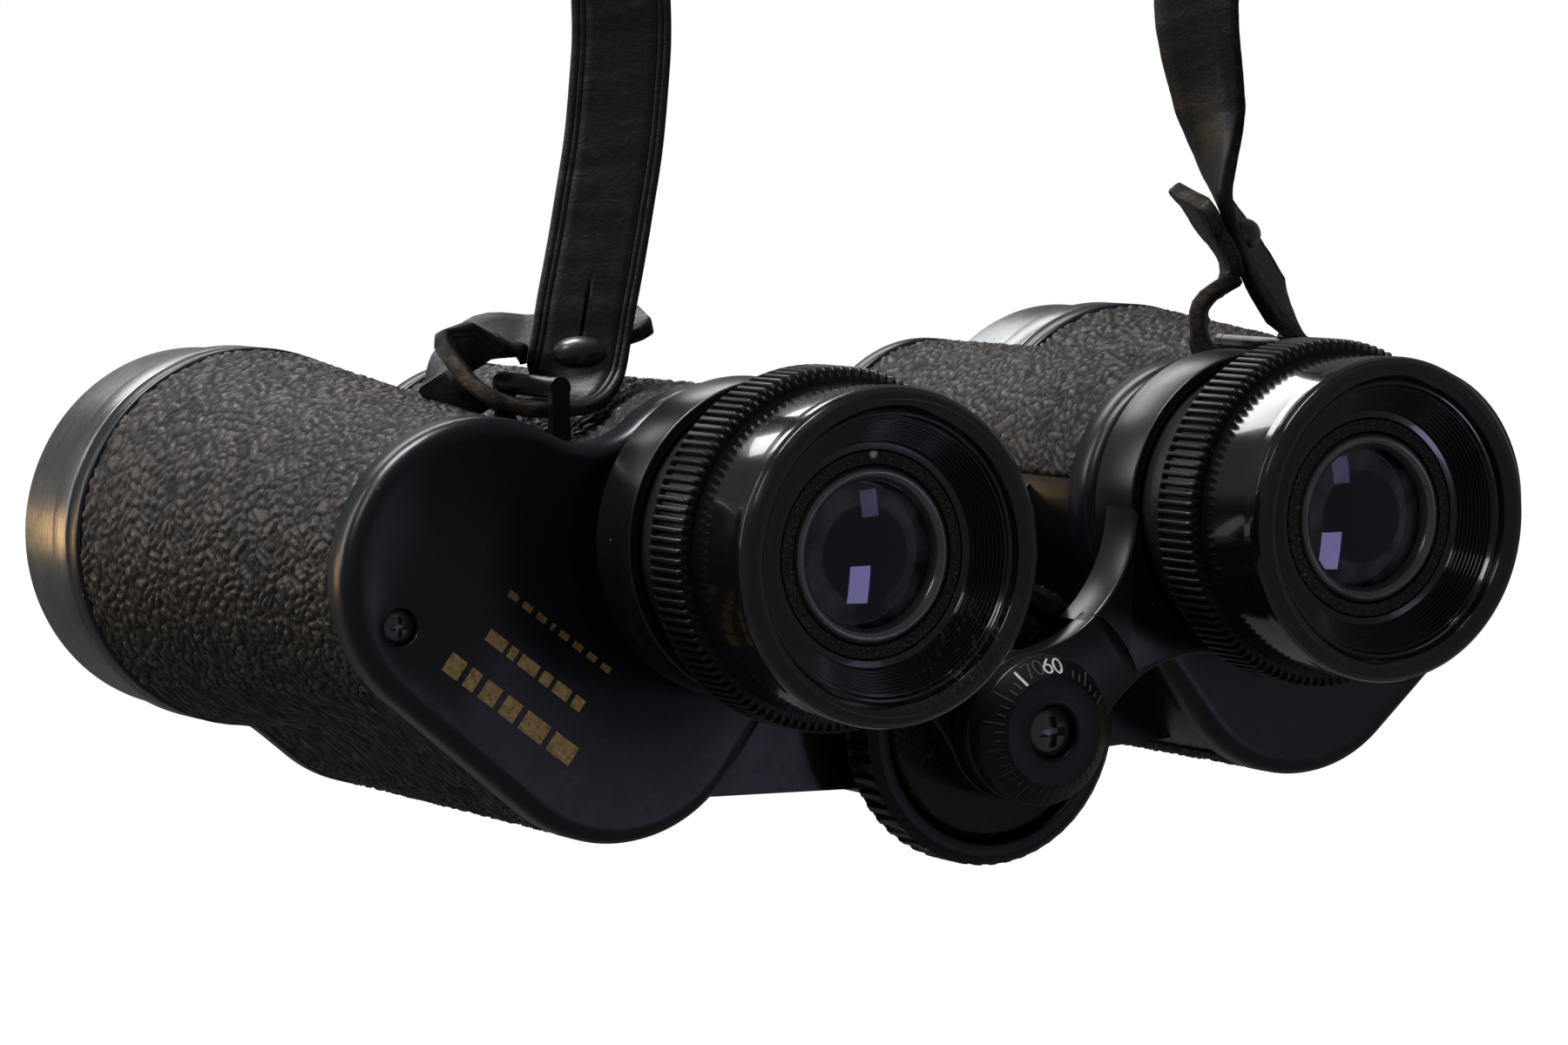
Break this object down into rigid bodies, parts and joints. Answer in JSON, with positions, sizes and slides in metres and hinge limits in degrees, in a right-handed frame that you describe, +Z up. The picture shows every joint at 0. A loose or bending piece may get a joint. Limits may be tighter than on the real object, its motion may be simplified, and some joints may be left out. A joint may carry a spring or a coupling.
{
  "type": "binoculars",
  "caption": "Prism binoculars with a centre focusing wheel, folding hinge, dioptre eyepiece and a neck strap.",
  "frame": {"origin": "top of the neck strap's centreline, where a hand or hook holds it", "axes": "+X to the right seen from the eyepieces, +Y from the eyepieces to the objectives along the hinge, +Z up along the hanging strap"},
  "size_m": [0.1662, 0.115, 0.1253],
  "materials": {
    "enamel": "satin black enamel",
    "gloss_enamel": "glossy black enamel, rounded bright rim",
    "gunmetal": "grey-black anodised, turned, satin gloss",
    "leatherette": "pebble-grained black leatherette, brown sheen",
    "black_metal": "black anodised, satin, knurled edges",
    "eyecup_plastic": "polished black moulding, worn lip",
    "glass": "coated optical glass, violet and blue reflections",
    "prism_glass": "polished prism glass",
    "steel": "machined steel",
    "blued_steel": "blackened steel",
    "raw_aluminium": "machined aluminium",
    "strap_leather": "black finished leather, tan cut edges"
  },
  "bodies": {
    "left_half": {"left_prism_housing": "enamel", "left_ocular_cover": "gloss_enamel", "left_cover_screw": "blued_steel", "left_leatherette": "leatherette", "left_front_cover": "gloss_enamel", "left_objective_ring": "gunmetal", "left_objective_cell": "black_metal", "left_objective_lens": "glass", "left_objective_lock_ring": "black_metal", "left_prism_shelf": "raw_aluminium", "left_rear_prism": "prism_glass", "left_front_prism": "prism_glass", "left_prism_clips": "steel", "left_strap_lug": "blued_steel", "left_strap_end": "strap_leather", "left_strap_stud": "blued_steel", "hinge_axle": "steel", "hinge_end_cap": "enamel", "strap_arch": "strap_leather"},
    "right_half": {"right_prism_housing": "enamel", "right_ocular_cover": "gloss_enamel", "right_cover_screw": "blued_steel", "right_leatherette": "leatherette", "right_front_cover": "gloss_enamel", "right_objective_ring": "gunmetal", "right_objective_cell": "black_metal", "right_objective_lens": "glass", "right_objective_lock_ring": "black_metal", "right_prism_shelf": "raw_aluminium", "right_rear_prism": "prism_glass", "right_front_prism": "prism_glass", "right_prism_clips": "steel", "right_strap_lug": "blued_steel", "right_strap_end": "strap_leather", "right_strap_stud": "blued_steel"},
    "focus_wheel": {"focus_wheel": "black_metal"},
    "left_bridge": {"left_bridge_arm": "enamel", "left_eyepiece_tube": "black_metal", "focus_spindle": "steel", "scale_cap": "black_metal", "cap_screw": "blued_steel"},
    "right_bridge": {"right_bridge_arm": "enamel", "right_eyepiece_tube": "black_metal", "right_knurled_ring": "black_metal", "right_eyecup": "eyecup_plastic", "right_lens_barrel": "black_metal", "right_eye_lens": "glass", "right_eye_lens_ring": "black_metal", "right_field_stop": "black_metal", "right_field_lens": "glass", "right_field_lens_ring": "black_metal"},
    "dioptre_barrel": {"left_lens_barrel": "black_metal", "left_eye_lens": "glass", "left_eye_lens_ring": "black_metal", "left_field_stop": "black_metal", "left_field_lens": "glass", "left_field_lens_ring": "black_metal"},
    "dioptre_head": {"left_knurled_ring": "black_metal", "left_eyecup": "eyecup_plastic"}
  },
  "joints": [
    {"name": "fold", "type": "hinge", "parent": "left_half", "child": "right_half", "pos_m": [0, 0.019, -0.108], "axis": [0, 1, 0], "range_deg": [-18, 23], "deforming": ["strap_arch"]},
    {"name": "focus_turn", "type": "hinge", "parent": "left_half", "child": "focus_wheel", "pos_m": [0, -0.014, -0.108], "axis": [0, 1, 0], "range_deg": [-340, 45]},
    {"name": "left_focus_slide", "type": "slide", "parent": "left_half", "child": "left_bridge", "axis": [0, 1, 0], "range_m": [-0.0047, 0.00062]},
    {"name": "right_focus_slide", "type": "slide", "parent": "right_half", "child": "right_bridge", "axis": [0, 1, 0], "range_m": [-0.0047, 0.00062]},
    {"name": "dioptre_turn", "type": "hinge", "parent": "dioptre_barrel", "child": "dioptre_head", "pos_m": [-0.032, -0.035, -0.0852], "axis": [0, 1, 0], "range_deg": [-60, 60]},
    {"name": "dioptre_advance", "type": "slide", "parent": "left_bridge", "child": "dioptre_barrel", "axis": [0, 1, 0], "range_m": [-0.00115, 0.00115]}
  ],
  "couplings": [
    {"joint": "focus_turn", "follows": "left_focus_slide", "rad_per_m": 1250},
    {"joint": "right_focus_slide", "follows": "left_focus_slide", "ratio": 1},
    {"joint": "dioptre_turn", "follows": "dioptre_advance", "rad_per_m": 909.09}
  ]
}
